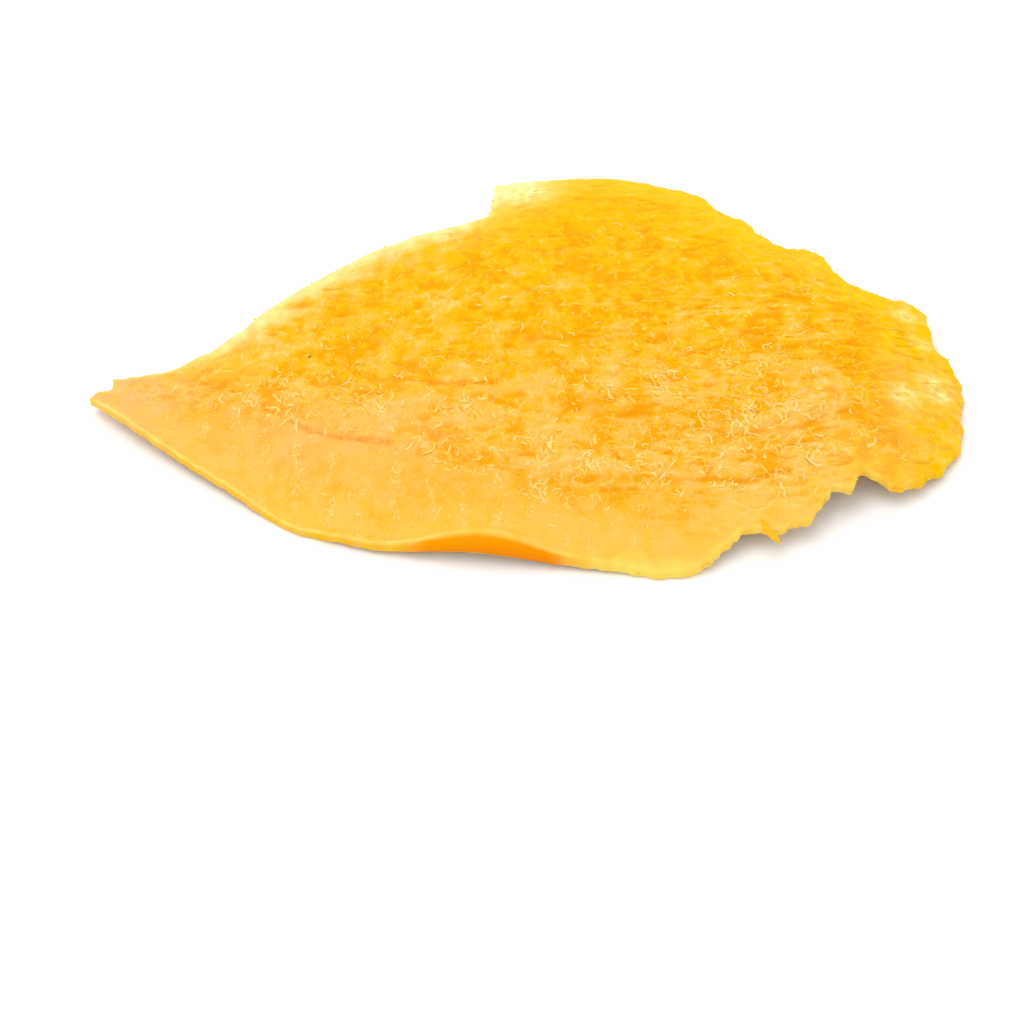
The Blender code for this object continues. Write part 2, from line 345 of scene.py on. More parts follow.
def faces_at(plan):
    """Heights of the underside and the top over plan points, before the fine relief."""
    x = plan[..., 0]
    y = plan[..., 1]
    from_rim = rim_distance(plan, torn_rim)
    arched = hung_underside(x, y, from_rim) - tray_plane[0] - tray_plane[1] * x - tray_plane[2] * y
    under = np.maximum(arched * resting(x, y), 0.0)
    top = arched + thickness(x, y, from_rim) - groove_depth(x, y)
    return under, np.maximum(top, under + LEAST_THICKNESS), from_rim


# The fine relief of both faces: lumps and pits of the felted flesh, folds and layers along the grain
GRAIN_LOW_X = 16.0
GRAIN_BEND = 24.0
GRAIN_DIP = 10.0
BAND_EDGE = ((-58.0, -5.5), (-46.8, -8.2), (-38.7, -10.6), (-29.3, -14.2), (-24.0, -15.8), (-16.3, -18.2),
             (-6.0, -22.4), (4.2, -24.8), (22.0, -24.6), (30.0, -26.0), (40.0, -24.0), (58.0, -20.0))
CREASE = ((-34.0, -10.3), (-29.0, -13.6), (-25.4, -15.1), (-21.0, -16.2), (-16.9, -17.1))
CRACK = ((22.0, -22.8), (27.7, -22.9), (30.9, -21.8), (33.5, -21.2))
LONG_FOLDS = (
    ((-17.1, -7.6), (-9.9, -8.7), (-3.5, -8.4)),
    ((-22.7, -9.4), (-18.4, -9.8)),
    ((9.5, -24.4), (13.7, -24.4)),
)


def grain_across(x, y):
    """How far a place lies across the grain, which dips in the middle and is straighter at the back."""
    dip = GRAIN_DIP * (np.sqrt(1 + ((x - GRAIN_LOW_X) / GRAIN_BEND) ** 2) - 1)
    return y - dip * np.interp(y, (-12.0, 20.0), (1.0, 0.1))


def line_distance(x, y, line):
    """How far places are from the nearest piece of a bent line."""
    nearest = np.full(x.shape, np.inf)
    for start, end in zip(line[:-1], line[1:]):
        run = np.subtract(end, start)
        share = np.clip(((x - start[0]) * run[0] + (y - start[1]) * run[1]) / (run @ run), 0.0, 1.0)
        off_x = x - start[0] - share * run[0]
        off_y = y - start[1] - share * run[1]
        nearest = np.minimum(nearest, np.hypot(off_x, off_y))
    return nearest


def band_share(x, y):
    """How much a place belongs to the smooth band along the front rim."""
    edge = np.interp(x, [place[0] for place in BAND_EDGE], [place[1] for place in BAND_EDGE])
    soft = 1.2 + 6.0 * smooth_step((x + 20.0) / 18.0)
    return smooth_step((edge - y) / soft + 0.5)


def layered_share(x, y):
    """How much the flesh lies in thin layers along the grain, as it does towards the broad end."""
    return smooth_step((x - 2.0) / 18.0) * smooth_step((14.0 - y) / 12.0)


def fold_share(x, y):
    """How much a place lies in a thin fold: the drawn ones, and short ones that follow the grain.

    The short folds are the lines where a slow unevenness, drawn out along the grain, crosses zero.
    Another unevenness lets only some stretches of them show.
    """
    wander = 0.3 * bumps(x / 3.0, y / 3.0, 24)
    folds = np.exp(-(((line_distance(x, y, CREASE) + wander) / 0.24) ** 2))
    folds = np.maximum(folds, np.exp(-(((line_distance(x, y, CRACK) + wander) / 0.28) ** 2)))
    for line in LONG_FOLDS:
        folds = np.maximum(folds, 0.8 * np.exp(-(((line_distance(x, y, line) + wander) / 0.28) ** 2)))
    crossing = np.exp(-((bumps(x / 8.0, grain_across(x, y) / 2.4, 23) / 0.12) ** 2))
    shown = smooth_step((bumps(x / 4.0, y / 3.0, 25) - 0.25 + 0.35 * layered_share(x, y)) / 0.4)
    return np.maximum(folds, 0.7 * crossing * shown * (1 - band_share(x, y)))


def top_relief(x, y, from_rim):
    """Fine relief of the top face, in mm: lumps, ridges along the grain, pits and folds."""
    band = band_share(x, y)
    rough = (1 - 0.75 * band) * smooth_step(from_rim / 1.8) * (1 + 0.7 * bell(x, y, (-46.0, -2.5), 8.0))
    across = grain_across(x, y)
    layered = layered_share(x, y)
    lumps = 0.11 * bumps(x / 4.6, y / 3.9, 11) + 0.18 * bumps(x / 1.9, y / 1.5, 12)
    lumps += 0.10 * bumps(x / 1.0, y / 0.9, 19)
    relief = rough * (1 - 0.15 * layered) * lumps
    relief += rough * (0.05 + 0.10 * layered) * bumps(x / 7.5, across / 1.7, 13)
    relief += rough * (0.04 + 0.08 * layered) * bumps(x / 3.2, across / 1.0, 14)
    relief -= rough * 0.35 * np.maximum(bumps(x / 1.7, y / 1.4, 15) - 0.3, 0.0)
    relief += 0.05 * band * bumps(x / 7.0, y / 4.0, 16)
    return relief - 0.28 * fold_share(x, y) * smooth_step(from_rim / 1.8)


under_height, _, under_from_rim = faces_at(under_plan)
_, top_height, top_from_rim = faces_at(top_plan)
top_x = top_plan[..., 0]
top_y = top_plan[..., 1]
under_x = under_plan[..., 0]
under_y = under_plan[..., 1]
top_fine = top_relief(top_x, top_y, top_from_rim)
top_from_edge = rim_distance(top_plan, top_plan.reshape(-1, 2)[leaf_ring])
under_fine = 0.10 * bumps(under_x / 9.0, grain_across(under_x, under_y) / 3.1, 17)
under_fine += 0.07 * bumps(under_x / 4.0, under_y / 3.0, 18)
under_free = smooth_step(under_from_rim / 2.2) * resting(under_x, under_y)
under_fine *= under_free * smooth_step(under_height / 0.5)
leaf_top = np.dstack([top_plan, top_height + top_fine])
leaf_under = np.dstack([under_plan, under_height + under_fine])

# The rim between the faces, and the mesh: the underside takes every second line of the top's grid
RIM_TURNS = (78.0, 52.0, 26.0, 0.0, -26.0, -52.0, -76.0)
rim_faces = faces_at(torn_rim)
rim_middle = np.column_stack([torn_rim, (rim_faces[0] + rim_faces[1]) / 2])
rim_blunt = bell(torn_rim[:, 0], torn_rim[:, 1], BLUNT_CENTRE, BLUNT_REACH)


def rim_rings():
    """Rings between the faces: a quarter of an ellipse from the top edge out to the rim, and one
    back in to the underside, flatter where the cut is blunt."""
    turn = np.radians(RIM_TURNS)[:, None, None]
    edge = np.where(turn > 0, leaf_top.reshape(-1, 3)[leaf_ring], leaf_under.reshape(-1, 3)[leaf_ring])
    share = np.concatenate([1 - np.cos(turn), 1 - np.cos(turn), np.abs(np.sin(turn))], axis=-1)
    flat = np.abs(turn) / (np.pi / 2)
    return rim_middle + (edge - rim_middle) * (share + (flat - share) * 0.8 * rim_blunt[:, None])


def grid_triangles(numbers):
    """Two triangles for each cell of a grid of vertex numbers, facing up."""
    a = numbers[:-1, :-1]
    b = numbers[1:, :-1]
    c = numbers[1:, 1:]
    d = numbers[:-1, 1:]
    return np.stack([a, b, c, a, c, d], axis=-1).reshape(-1, 3)


def band_triangles(lower, upper):
    """A closed band of triangles between two rings of vertex numbers, facing outwards."""
    next_lower = np.roll(lower, -1)
    next_upper = np.roll(upper, -1)
    return np.stack([lower, next_lower, next_upper, lower, next_upper, upper], axis=-1).reshape(-1, 3)


def halving_triangles(lower, upper):
    """The same between a ring and an upper one with twice as many vertices."""
    next_lower = np.roll(lower, -1)
    between = upper[1::2]
    next_upper = np.roll(upper[::2], -1)
    return np.stack([lower, between, upper[::2], lower, next_lower, between,
                     next_lower, next_upper, between], axis=-1).reshape(-1, 3)


def make_piece(name, points, triangles, material, shares, normals=None):
    """A piece of the slice: its mesh set in its place, with a value of each share at each vertex."""
    placed = (np.asarray(points, float).reshape(-1, 3) - [middle[0], middle[1], 0.0]) * MM
    mesh = bpy.data.meshes.new(name)
    mesh.from_pydata(placed.tolist(), [], triangles.tolist())
    mesh.shade_smooth()
    if normals is not None:
        mesh.normals_split_custom_set_from_vertices(normals.reshape(-1, 3).tolist())
    for share_name, values in shares.items():
        attribute = mesh.attributes.new(share_name, "FLOAT", "POINT")
        attribute.data.foreach_set("value", np.ascontiguousarray(values, dtype=np.float32).ravel())
    mesh.materials.append(material)
    piece = bpy.data.objects.new(name, mesh)
    bpy.context.scene.collection.objects.link(piece)
    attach(piece, "root")
    return piece


# The flesh's material, with light and shade painted into its colour. It is deep orange in the hollows,
# partly painted shade, golden on the flat and pale on the peaks as a painted highlight, more saturated
# towards the back and paler towards the front, partly by a painted sheen. Its rim is thin and lets light
# through, and its paler colour there is partly a painted glow.
def paint(red, green, blue):
    """A colour as a screen shows it, from 0 to 255, turned into the light that a shader mixes."""
    screen = np.array([red, green, blue]) / 255.0
    light = np.where(screen <= 0.04045, screen / 12.92, ((screen + 0.055) / 1.055) ** 2.4)
    return (*light.tolist(), 1.0)


def feed(node, sockets):
    """Gives a node's sockets, by name or number, each a value or the output of another node."""
    for key, value in sockets.items():
        if isinstance(value, bpy.types.NodeSocket):
            node.id_data.links.new(value, node.inputs[key])
        else:
            node.inputs[key].default_value = value


def new_material(name):
    """A material, its Principled shader, and a function that adds nodes to it."""
    material = bpy.data.materials.new(name)
    material.use_nodes = True
    nodes = material.node_tree.nodes

    def add(kind, sockets, **settings):
        """A new node with its settings, and with its sockets fed."""
        node = nodes.new(kind)
        for key, value in settings.items():
            setattr(node, key, value)
        feed(node, sockets)
        return node

    return material, nodes["Principled BSDF"], add


def read_share(add, name):
    """The value of a share that the piece's vertices carry."""
    return add("ShaderNodeAttribute", {}, attribute_name=name).outputs["Fac"]


def noise(add, place, scale, detail):
    """Cloudy unevenness from 0 to 1, with scale bumps for each unit of the place."""
    sockets = {"Vector": place, "Scale": scale, "Detail": detail, "Roughness": 0.6}
    return add("ShaderNodeTexNoise", sockets).outputs["Fac"]


def combine(add, operation, *values):
    """One sum of the maths node."""
    return add("ShaderNodeMath", dict(enumerate(values)), operation=operation).outputs[0]


def uneven(add, cloud, strength, height):
    """A height with a cloud's unevenness about its middle added."""
    return combine(add, "MULTIPLY_ADD", combine(add, "SUBTRACT", cloud, 0.5), strength, height)


def mix_paint(add, share, first, second):
    """A colour between two colours."""
    return add("ShaderNodeMix", {0: share, 6: first, 7: second}, data_type="RGBA").outputs[2]


def spread(add, value, low, high):
    """Carries value from the range low to high onto 0 to 1, with smooth ends."""
    sockets = {"Value": value, "From Min": low, "From Max": high}
    return add("ShaderNodeMapRange", sockets, interpolation_type="SMOOTHSTEP").outputs["Result"]


def strokes(add, place, spacing, half_length, half_width):
    """Short strokes from 0 to 1: one in each cell of a scattered pattern, each turned its own way."""
    cells = add("ShaderNodeTexVoronoi", {"Vector": place, "Scale": 1 / spacing}, voronoi_dimensions="2D")
    own = add("ShaderNodeSeparateColor", {"Color": cells.outputs["Color"]}).outputs
    turn = combine(add, "MULTIPLY", own["Red"], 2 * np.pi)
    off = add("ShaderNodeVectorMath", {0: place, 1: cells.outputs["Position"]}, operation="SUBTRACT")
    off = add("ShaderNodeVectorRotate", {"Vector": off.outputs[0], "Angle": turn}, rotation_type="Z_AXIS")
    squeeze = (1 / half_length, 1 / half_width, 0.0)
    off = add("ShaderNodeVectorMath", {0: off.outputs[0], 1: squeeze}, operation="MULTIPLY")
    reach = add("ShaderNodeVectorMath", {0: off.outputs[0]}, operation="LENGTH").outputs["Value"]
    return combine(add, "MULTIPLY", spread(add, reach, 1.0, 0.3), own["Green"])


HOLLOW_SHADE_ORANGE = paint(237, 159, 0)
HOLLOW_SHADE_PEACH = paint(237, 166, 36)
GOLDEN_FLESH = paint(237, 177, 0)
PALE_FLESH = paint(237, 183, 82)
YELLOW_PEAK_HIGHLIGHT = paint(238, 193, 6)
CREAM_PEAK_HIGHLIGHT = paint(238, 204, 120)
STREAK_AND_SHADE_ORANGE = paint(237, 147, 0)
PEACH_TIP_AND_SHEEN = paint(238, 181, 124)
GOLDEN_RIM_GLOW = paint(239, 201, 6)
PALE_RIM_GLOW = paint(242, 237, 160)
CUT_TOP_SHADE = paint(240, 158, 0)
CUT_LOW_SHADE = paint(234, 132, 0)
FLESH_GLOW = (1.0, 0.6, 0.2)

leaf_material, leaf_shader, leaf_node = new_material("mango_flesh")
body_place = leaf_node("ShaderNodeTexCoord", {}).outputs["Object"]
grain_place = leaf_node("ShaderNodeTexCoord", {}).outputs["UV"]
grain_stretch = leaf_node("ShaderNodeMapping", {"Vector": grain_place, "Scale": (0.22, 1.0, 1.0)})
patch = noise(leaf_node, body_place, 170.0, 2.0)
mottle = noise(leaf_node, body_place, 430.0, 2.0)
fleck = noise(leaf_node, body_place, 1500.0, 2.0)
bend = leaf_node("ShaderNodeTexNoise", {"Vector": body_place, "Scale": 700.0, "Detail": 1.0})
bend_reach = (0.0014, 0.0014, 0.0)
bent_place = leaf_node("ShaderNodeVectorMath", {0: bend.outputs["Color"], 1: bend_reach, 2: body_place},
                       operation="MULTIPLY_ADD").outputs[0]
broad_strokes = strokes(leaf_node, bent_place, 0.0022, 0.0011, 0.00030)
middle_strokes = strokes(leaf_node, bent_place, 0.0015, 0.0008, 0.00017)
fine_strokes = strokes(leaf_node, bent_place, 0.0010, 0.0005, 0.00010)
grain = noise(leaf_node, grain_stretch.outputs["Vector"], 1.1, 2.0)
calm = read_share(leaf_node, "calm")
height = combine(leaf_node, "MULTIPLY", read_share(leaf_node, "relief"), 1.8)
grain_strength = combine(leaf_node, "MULTIPLY_ADD", read_share(leaf_node, "layered"), 1.2, 0.4)
for cloud, strength in ((patch, 1.8), (mottle, 1.5), (fleck, 0.4), (grain, grain_strength)):
    height = uneven(leaf_node, cloud, strength, height)
pile = combine(leaf_node, "MULTIPLY", broad_strokes, 0.55)
pile = combine(leaf_node, "MULTIPLY_ADD", middle_strokes, 0.6, pile)
pile = combine(leaf_node, "MULTIPLY_ADD", fine_strokes, 0.5, pile)
height = combine(leaf_node, "ADD", height, combine(leaf_node, "SUBTRACT", pile, 0.12))
height = combine(leaf_node, "MULTIPLY", height, combine(leaf_node, "MULTIPLY_ADD", calm, -0.4, 1.0))
# The pallor is partly a painted sheen on the front, and the height adds a painted highlight on the peaks.
pallor_and_sheen = combine(leaf_node, "MULTIPLY_ADD", height, 1.0, read_share(leaf_node, "pallor_and_sheen"))
pallor_and_sheen = uneven(leaf_node, noise(leaf_node, body_place, 310.0, 3.0), 2.2, pallor_and_sheen)
pallor_and_sheen = spread(leaf_node, pallor_and_sheen, -0.2, 1.4)
golden = mix_paint(leaf_node, pallor_and_sheen, GOLDEN_FLESH, PALE_FLESH)
hollow_shade = mix_paint(leaf_node, pallor_and_sheen, HOLLOW_SHADE_ORANGE, HOLLOW_SHADE_PEACH)
peak_highlight = mix_paint(leaf_node, pallor_and_sheen, YELLOW_PEAK_HIGHLIGHT, CREAM_PEAK_HIGHLIGHT)
# Low places are painted deep orange as shade in the hollows and high places pale as a painted highlight;
# the clouds add the flesh's own mottling.
colour = mix_paint(leaf_node, spread(leaf_node, height, -0.55, 0.05), hollow_shade, golden)
peak_highlight_share = combine(leaf_node, "MULTIPLY", spread(leaf_node, height, 0.15, 0.8), 0.75)
colour = mix_paint(leaf_node, peak_highlight_share, colour, peak_highlight)
# The rim's pale colour is partly the thinner flesh and partly a painted glow of light through it.
rim_glow_colour = mix_paint(leaf_node, read_share(leaf_node, "rim_tone"), GOLDEN_RIM_GLOW, PALE_RIM_GLOW)
cut_shade_colour = mix_paint(leaf_node, read_share(leaf_node, "cut_shade_depth"), CUT_TOP_SHADE, CUT_LOW_SHADE)
for share_name, tint in (
        ("streak_and_shade", STREAK_AND_SHADE_ORANGE), ("peach", PEACH_TIP_AND_SHEEN), ("rim", rim_glow_colour), ("cut", cut_shade_colour)):
    colour = mix_paint(leaf_node, read_share(leaf_node, share_name), colour, tint)
skin = combine(leaf_node, "MULTIPLY_ADD", fleck, 0.4, pile)
skin = combine(leaf_node, "MULTIPLY", skin, combine(leaf_node, "MULTIPLY_ADD", calm, -0.6, 1.0))
skin_bump = leaf_node("ShaderNodeBump", {"Height": skin, "Strength": 0.5, "Distance": 0.0001})
feed(leaf_shader, {
    "Base Color": colour,
    "Normal": skin_bump.outputs["Normal"],
    "Roughness": 0.55,
    "Specular IOR Level": 0.03,
    "Subsurface Weight": 0.4,
    "Subsurface Radius": FLESH_GLOW,
    "Subsurface Scale": 0.0006,
})

# Hollows painted deeper orange, partly the deeper flesh that shows there and partly painted shade, as
# place, half length and half width
ORANGE_SPOTS = (
    (8.1, -12.3, 4.2, 1.4), (14.5, -13.6, 3.0, 1.2), (0.4, -1.6, 2.6, 1.5), (16.8, -1.5, 2.2, 0.9),
    (29.5, -16.0, 2.6, 0.8), (35.5, -15.2, 4.2, 1.0), (42.8, -12.5, 2.6, 0.8), (47.0, -11.6, 1.6, 0.9),
    (48.6, -3.6, 2.0, 1.8), (29.6, -1.3, 2.4, 1.5), (-15.2, -5.5, 1.5, 1.4), (-20.5, -0.9, 1.9, 1.8),
    (-33.0, -8.0, 1.9, 0.8), (-40.0, -5.2, 1.4, 1.2), (46.4, -15.0, 3.0, 1.6), (56.0, -8.0, 0.9, 2.6),
)
# Thin pale places, painted as light glowing through the thin flesh: four near the broad end and the step
# in the back rim, as place and reach
PALE_GLOW_PATCHES = (
    (53.8, -5.0, 3.2), (49.2, -8.4, 2.5), (50.8, 7.3, 2.6), (52.6, 2.4, 2.0), (-0.8, 33.2, 5.8),
)
TIP_PLACE = (-53.0, -6.0)
STEP_PLACE = (-1.5, 34.0)
LIP_PLACE = (16.0, -33.0)
UNDERSIDE_PALLOR = 0.35


def pallor_and_sheen_at(x, y):
    """From 0 where the flesh is saturated, at the back, to 1 where it is pale, at the front.
    The paler front is partly the flesh's own tone and partly a painted sheen, where it droops towards the
    light.
    """
    towards_front = np.interp(y, (-22.0, -14.0, -4.0, 10.0, 26.0), (0.84, 0.74, 0.27, 0.08, -0.50))
    towards_tip = 0.12 * smooth_step((-22.0 - x) / 16.0)
    towards_broad = 0.12 * smooth_step((x - 22.0) / 14.0) * smooth_step((6.0 - y) / 8.0)
    at_broad = 0.95 * smooth_step((x - 39.0) / 8.0)
    return np.minimum(towards_front + towards_tip + towards_broad - at_broad, 1.0)


def orange_share(x, y):
    """How much a place lies in one of the orange hollows, whose deeper orange is partly painted shade."""
    spots = np.zeros_like(x)
    for spot_x, spot_y, half_length, half_width in ORANGE_SPOTS:
        along = (x - spot_x) / half_length
        aside = (y - spot_y - 0.05 * (x - spot_x)) / half_width
        spots = np.maximum(spots, np.exp(-(along**2 + aside**2)))
    return spots


def face_shares(x, y, from_edge, relief, is_top):
    """What each vertex of a face is like, from 0 to 1, and its fine relief in mm.

    The pale rim is a bell over the distance from the edge, partly the paler thin flesh and partly a
    painted glow of light through it. Its width and strength change along the rim, and a wider painted
    golden glow and the pale patches, also painted glow, stand beside it, whichever is the strongest.
    """
    band = band_share(x, y)
    back = smooth_step((y + 3.0) / 6.0)
    back_left = back * smooth_step((-2.0 - x) / 8.0)
    broad = smooth_step((x - 44.0) / 8.0)
    front_left = (1 - back) * smooth_step((-26.0 - x) / 10.0)
    tip = bell(x, y, TIP_PLACE, 9.0)
    step = bell(x, y, STEP_PLACE, 5.0)
    lip = bell(x, y, LIP_PLACE, 7.0)
    rim_width = 0.12 + 2.4 * back_left + 3.0 * step + 0.2 * broad + 0.25 * back
    rim_width = rim_width + 0.2 * front_left + 1.6 * lip
    rim_width = rim_width * (1 + 0.9 * bumps(x / 2.4, y / 2.4, 21))
    rim_strength = 0.7 - 0.3 * smooth_step((x - 2.0) / 12.0) * back - 0.25 * broad
    rim_strength = rim_strength - 0.2 * (1 - back) * (1 - lip) + 0.3 * step + 0.2 * lip
    rim_strength = rim_strength + (0.25 + 0.5 * broad) * bumps(x / 1.5, y / 1.5, 26)
    rim = np.exp(-((from_edge / np.maximum(rim_width, 0.15)) ** 1.6)) * rim_strength
    patches = np.zeros_like(x)
    for patch_x, patch_y, reach in PALE_GLOW_PATCHES:
        patches = np.maximum(patches, bell(x, y, (patch_x, patch_y), reach))
    rim = np.maximum(rim, patches * (0.85 + 0.5 * bumps(x / 1.1, y / 1.1, 27)))
    golden = 0.25 * (1 - back) * (1 - tip) * np.exp(-((from_edge / 5.0) ** 2))
    golden = golden + 0.5 * back * (1 - back_left) * np.exp(-((from_edge / 4.5) ** 2))
    rim = np.maximum(rim, np.maximum(golden, 0.3 * smooth_step((x - 43.0) / 6.0)))
    rim_tone = 0.35 + 0.7 * back_left + 0.6 * step - 0.3 * back * (1 - back_left) + 0.6 * patches
    rim_tone = rim_tone + 0.4 * broad * bumps(x / 2.0, y / 2.0, 28) - 0.2 * broad
    spots = orange_share(x, y)
    broken = smooth_step(0.7 + 0.8 * bumps(x / 2.2, y / 1.2, 22))
    warm = 0.22 * bell(x / 2.0, y, (-4.0, -24.0), 6.0) + 0.2 * bell(x, y, (-42.0, -9.0), 10.0)
    warm = warm + 0.25 * bell(x, y, (47.0, -18.0), 5.0)
    # The streaks paint the folds, the crack and the orange hollows deeper orange as painted shade, partly
    # the deeper flesh too, with some warmer patches.
    streak_and_shade = np.clip(0.8 * spots * broken + 0.95 * fold_share(x, y) + warm, 0.0, 1.0)
    # The peach tone at the tip and on the band is partly the flesh's own and partly a painted sheen.
    tip_peach_and_sheen = np.clip((0.55 + 0.4 * bumps(x / 2.6, y / 1.8, 29)) * tip, 0.0, 1.0)
    return {
        "relief": relief,
        "calm": band,
        "layered": layered_share(x, y),
        "pallor_and_sheen": pallor_and_sheen_at(x, y) if is_top else np.full_like(x, UNDERSIDE_PALLOR),
        "streak_and_shade": streak_and_shade * is_top,
        "peach": tip_peach_and_sheen + 0.3 * bell(x / 3.0, y, (-9.0, -15.5), 5.0),
        "rim": np.clip(rim, 0.0, 1.0),
        "rim_tone": np.clip(rim_tone, 0.0, 1.0),
        "cut": np.zeros_like(x),
        "cut_shade_depth": np.zeros_like(x),
    }


top_shares = face_shares(top_x, top_y, top_from_edge, top_fine, 1.0)
under_shares = face_shares(under_x, under_y, under_from_rim, under_fine, 0.0)

# The rings take the top's edge, save on the blunt cut, painted deeper orange as shade that darkens down
# the face, and on the thin front rim, which has a pale line painted as a highlight along its upper edge
ring_count = len(RIM_TURNS)
ring_shares = {}
for share_name, top_values in top_shares.items():
    ring_shares[share_name] = np.tile(top_values.reshape(-1)[leaf_ring], (ring_count, 1))
ring_turns = np.array(RIM_TURNS)[:, None]
rim_x = torn_rim[:, 0]
rim_y = torn_rim[:, 1]
# The blunt cut faces down and forwards: its deeper orange is partly the fresh cut and partly painted
# shade, darker down the face and towards the right.
ring_shares["cut"] = smooth_step((76.0 - ring_turns) / 20.0) * smooth_step((rim_blunt - 0.1) / 0.4)
ring_shares["cut_shade_depth"] = np.clip(
    (60.0 - ring_turns) / 120.0 + 0.4 * smooth_step((rim_x + 8.0) / 14.0), 0.0, 1.0)
thin_front = smooth_step((-8.0 - rim_x) / 8.0) * smooth_step((-5.0 - rim_y) / 3.0)
# The pale line along the thin front rim's upper edge is a painted highlight where the rim turns up to the
# light.
edge_highlight = smooth_step((ring_turns - 30.0) / 40.0)
front_rim = np.clip(0.3 + 0.25 * edge_highlight + 0.3 * bumps(rim_x / 2.0, rim_y / 2.0, 33), 0.0, 1.0)
ring_shares["rim"] = ring_shares["rim"] * (1 - thin_front) + thin_front * front_rim
ring_shares["rim_tone"] = ring_shares["rim_tone"] * (1 - thin_front) + 0.7 * thin_front * edge_highlight

under_grid = np.arange(u[::2, ::2].size).reshape(u[::2, ::2].shape) + leaf_grid.size
ring_start = leaf_grid.size + under_grid.size
ring_numbers = ring_start + np.arange(ring_count * len(leaf_ring)).reshape(ring_count, -1)
layers = [leaf_ring, *ring_numbers]
leaf_triangles = [grid_triangles(leaf_grid), grid_triangles(under_grid)[:, ::-1]]
leaf_triangles += [band_triangles(lower, upper) for upper, lower in zip(layers[:-1], layers[1:])]
leaf_triangles.append(halving_triangles(ring_of(under_grid), ring_numbers[-1]))
leaf_points = [part.reshape(-1, 3) for part in (leaf_top, leaf_under[::2, ::2], rim_rings())]
leaf_shares = {}
for share_name, top_values in top_shares.items():
    under_values = under_shares[share_name][::2, ::2]
    leaf_shares[share_name] = np.concatenate(
        [top_values.ravel(), under_values.ravel(), ring_shares[share_name].ravel()])
leaf = make_piece(
    "leaf", np.vstack(leaf_points), np.vstack(leaf_triangles), leaf_material, leaf_shares)
top_grain = np.column_stack([top_x.ravel(), grain_across(top_x, top_y).ravel()])
under_grain = np.dstack([under_x, grain_across(under_x, under_y)])[::2, ::2].reshape(-1, 2)
grain_at = np.vstack([top_grain, under_grain, np.tile(top_grain[leaf_ring], (ring_count, 1))])
corner_vertex = np.empty(len(leaf.data.loops), dtype=np.int32)
leaf.data.loops.foreach_get("vertex_index", corner_vertex)
grain_layer = leaf.data.uv_layers.new(name="grain")
grain_layer.data.foreach_set("uv", grain_at[corner_vertex].astype(np.float32).ravel())
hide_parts("mango_slice")

# The felt: the fruit's own fibres, which the knife cut and the drying lifted off the flesh.
# They are pale, dry and curled, one or two millimetres long, and lie on the face in tangled patches.
# Each is a flat tapered tube whose heading turns along it, laid on the face by the face's own grid.
FIBRE_YELLOW = paint(246, 186, 6)
FIBRE_CREAM = paint(248, 213, 132)
# How far the shading leans towards the face, and how far headings and tones stray
SOFTNESS = 1.6
GRAIN_STRAY = 0.16
TONE_STRAY = 0.2

fibre_material, fibre_shader, fibre_node = new_material("mango_fibre")
fibre_colour = mix_paint(fibre_node, read_share(fibre_node, "tone"), FIBRE_YELLOW, FIBRE_CREAM)
feed(fibre_shader, {"Base Color": fibre_colour, "Roughness": 0.6, "Specular IOR Level": 0.1})


def read_grid(values, i, j):
    """Values of a grid at places between its points, as a straight mix of the four round each."""
    low_i = np.clip(np.floor(i).astype(int), 0, values.shape[0] - 2)
    low_j = np.clip(np.floor(j).astype(int), 0, values.shape[1] - 2)
    past_i = i - low_i
    past_j = j - low_j
    if values.ndim == 3:
        past_i = past_i[..., None]
        past_j = past_j[..., None]
    near = values[low_i, low_j] * (1 - past_i) + values[low_i + 1, low_j] * past_i
    far = values[low_i, low_j + 1] * (1 - past_i) + values[low_i + 1, low_j + 1] * past_i
    return near * (1 - past_j) + far * past_j


def unit(vectors):
    """The same directions, each one long."""
    return vectors / np.maximum(np.linalg.norm(vectors, axis=-1, keepdims=True), 1e-9)


def face_normals(face):
    """The direction square to a face at each point of its grid."""
    return unit(np.cross(np.gradient(face, axis=0), np.gradient(face, axis=1)))


def scatter(rng, face, weight, count):
    """Places on a face's grid, drawn at random in proportion to a weight for each unit of area."""
    along = np.diff(face, axis=0)[:, :-1]
    across = np.diff(face, axis=1)[:-1]
    area = np.linalg.norm(np.cross(along, across), axis=-1)
    chance = (area * weight[:-1, :-1]).ravel()
    cell = rng.choice(chance.size, count, p=chance / chance.sum())
    i, j = np.unravel_index(cell, area.shape)
    return i + rng.random(count), j + rng.random(count)


